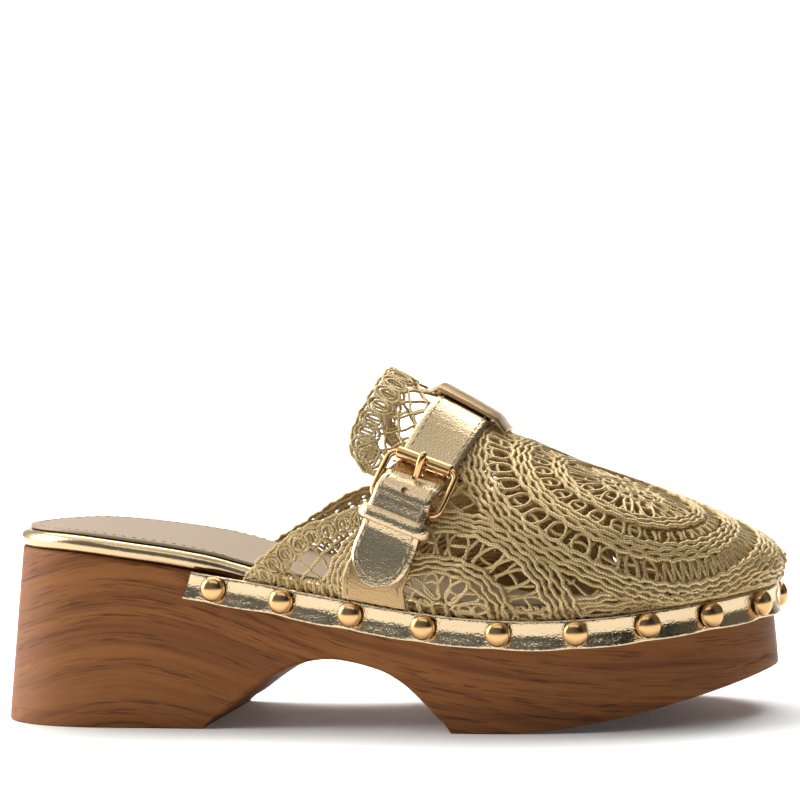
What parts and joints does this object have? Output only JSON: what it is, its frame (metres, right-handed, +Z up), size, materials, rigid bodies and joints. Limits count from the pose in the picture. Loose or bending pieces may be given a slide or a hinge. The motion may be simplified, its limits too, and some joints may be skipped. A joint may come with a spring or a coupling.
{
  "type": "clog mule",
  "caption": "Right clog mule with a wood-look block heel and platform, an open lace upper held by a studded leather rand, and a buckled instep strap.",
  "frame": {"origin": "centre of the shoe's box, on the floor", "axes": "+X towards the toe, +Z up, -Y towards the lateral side, where the buckle is"},
  "size_m": [0.2498, 0.0996, 0.1099],
  "materials": {
    "wood_look_block": "satin, brown wood grain",
    "tan_rubber": "satin, the block's brown",
    "gold_leather": "metallic champagne gold, fine grain",
    "sock_leather": "satin gold",
    "gold_lace": "gold-tan cord",
    "polished_gold": "polished gold plate"
  },
  "bodies": {
    "root": {"sole": "wood_look_block", "heel_lift": "tan_rubber", "forefoot_tread": "tan_rubber", "footbed": "gold_leather", "sock": "sock_leather", "upper": "gold_lace", "rand": "gold_leather", "stud_01": "polished_gold", "stud_02": "polished_gold", "stud_03": "polished_gold", "stud_04": "polished_gold", "stud_05": "polished_gold", "stud_06": "polished_gold", "stud_07": "polished_gold", "stud_08": "polished_gold", "stud_09": "polished_gold", "stud_10": "polished_gold", "stud_11": "polished_gold", "stud_12": "polished_gold", "stud_13": "polished_gold", "stud_14": "polished_gold", "stud_15": "polished_gold", "stud_16": "polished_gold", "stud_17": "polished_gold", "stud_18": "polished_gold", "strap_base": "gold_leather", "strap_over": "gold_leather", "instep_loop": "gold_leather", "strap_keeper": "gold_leather", "buckle_frame": "polished_gold", "buckle_roller": "polished_gold", "buckle_prong": "polished_gold"}
  },
  "joints": []
}
